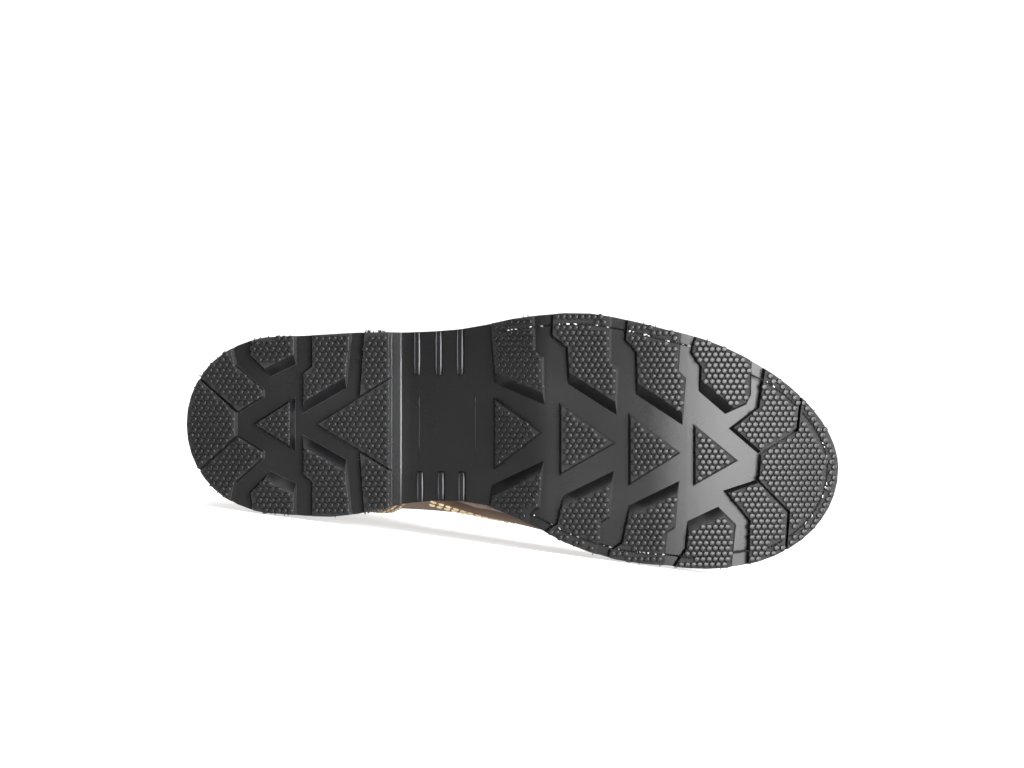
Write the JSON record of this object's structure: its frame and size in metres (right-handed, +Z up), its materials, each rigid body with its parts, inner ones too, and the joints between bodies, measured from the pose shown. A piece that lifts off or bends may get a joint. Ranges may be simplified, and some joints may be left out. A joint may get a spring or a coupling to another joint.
{
  "type": "moc toe work boot",
  "caption": "Right moc toe work boot lying on its inner side: lugged black rubber sole and heel, welt, hollow brown leather upper with shaft, tongue, raised toe seam, eyelets and laces.",
  "frame": {"origin": "centre of the boot's box, on the floor it lies on", "axes": "+X towards the toe along the floor, -Y out of the tread (the sole faces -Y), +Z up; the inner side is down"},
  "size_m": [0.3038, 0.187, 0.1121],
  "materials": {
    "sole_rubber": "semi-gloss black rubber, domed lug faces",
    "welt_leather": "grey-brown edge leather with pale stitches",
    "insole_board": "plain tan",
    "upper_leather": "oiled brown, cream seams",
    "overlay_leather": "oiled brown, cream seams",
    "eyelet_brass": "aged brass",
    "lace_cord": "round braided brown cord"
  },
  "bodies": {
    "root": {"outsole": "sole_rubber", "heel": "sole_rubber", "welt": "welt_leather", "insole": "insole_board", "upper": "upper_leather", "tongue": "upper_leather", "eyestay_lateral": "overlay_leather", "eyestay_medial": "overlay_leather", "heel_counter": "overlay_leather", "moc_seam": "overlay_leather", "eyelet_lateral_1": "eyelet_brass", "eyelet_lateral_2": "eyelet_brass", "eyelet_lateral_3": "eyelet_brass", "eyelet_lateral_4": "eyelet_brass", "eyelet_lateral_5": "eyelet_brass", "eyelet_lateral_6": "eyelet_brass", "eyelet_medial_1": "eyelet_brass", "eyelet_medial_2": "eyelet_brass", "eyelet_medial_3": "eyelet_brass", "eyelet_medial_4": "eyelet_brass", "eyelet_medial_5": "eyelet_brass", "eyelet_medial_6": "eyelet_brass", "lace_bar": "lace_cord", "lace_crossing_1": "lace_cord", "lace_crossing_2": "lace_cord", "lace_crossing_3": "lace_cord", "lace_crossing_4": "lace_cord", "lace_crossing_5": "lace_cord"}
  },
  "joints": []
}
